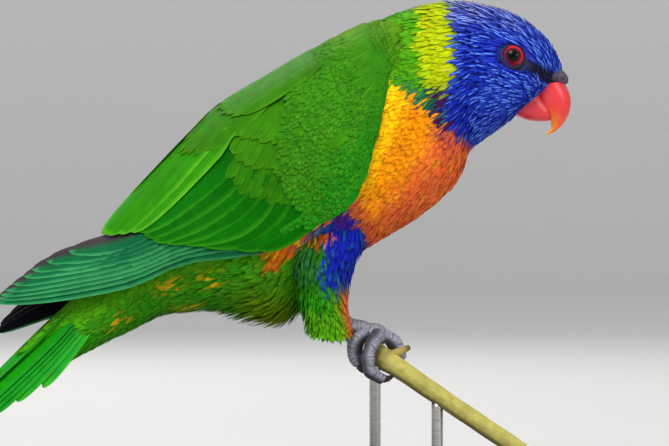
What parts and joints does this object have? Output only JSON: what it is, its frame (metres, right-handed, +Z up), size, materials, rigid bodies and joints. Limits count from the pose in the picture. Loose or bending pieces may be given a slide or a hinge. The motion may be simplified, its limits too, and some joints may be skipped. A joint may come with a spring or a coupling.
{
  "type": "rainbow lorikeet",
  "caption": "Life-size still model of a rainbow lorikeet with folded wings, gripping a short cut branch that two rods hold above a flat wooden base.",
  "frame": {"origin": "middle of the underside of the stand's base", "axes": "+X to the bird's front, where its bill points; +Y to its left side; +Z up"},
  "size_m": [0.2263, 0.092, 0.175],
  "materials": {
    "blue_feathers": "soft overlapping feathers, deep violet blue",
    "lime_feathers": "soft overlapping feathers, yellow green",
    "orange_feathers": "soft overlapping feathers, orange red and yellow",
    "green_feathers": "smooth overlapping feathers, bright green",
    "bill_horn": "smooth horn, coral red",
    "cere_skin": "bare skin, dark grey brown",
    "eye_gloss": "wet gloss, red iris and black pupil",
    "foot_skin": "scaled skin, blue grey",
    "claw_horn": "smooth horn, dark grey",
    "bark": "smooth young bark, olive yellow",
    "base_wood": "satin dark stained wood",
    "rod_steel": "brushed"
  },
  "bodies": {
    "root": {"head": "blue_feathers", "neck": "lime_feathers", "torso": "orange_feathers", "tail": "green_feathers", "wing_right": "green_feathers", "wing_left": "green_feathers", "thigh_right": "green_feathers", "thigh_left": "green_feathers", "bill_upper": "bill_horn", "bill_lower": "bill_horn", "cere": "cere_skin", "eye_right": "eye_gloss", "eye_left": "eye_gloss", "foot_right": "foot_skin", "foot_left": "foot_skin", "claw_right_outer_front": "claw_horn", "claw_right_inner_front": "claw_horn", "claw_right_outer_hind": "claw_horn", "claw_right_inner_hind": "claw_horn", "claw_left_outer_front": "claw_horn", "claw_left_inner_front": "claw_horn", "claw_left_outer_hind": "claw_horn", "claw_left_inner_hind": "claw_horn", "perch": "bark", "stand_base": "base_wood", "stand_rod_front": "rod_steel", "stand_rod_back": "rod_steel"}
  },
  "joints": []
}
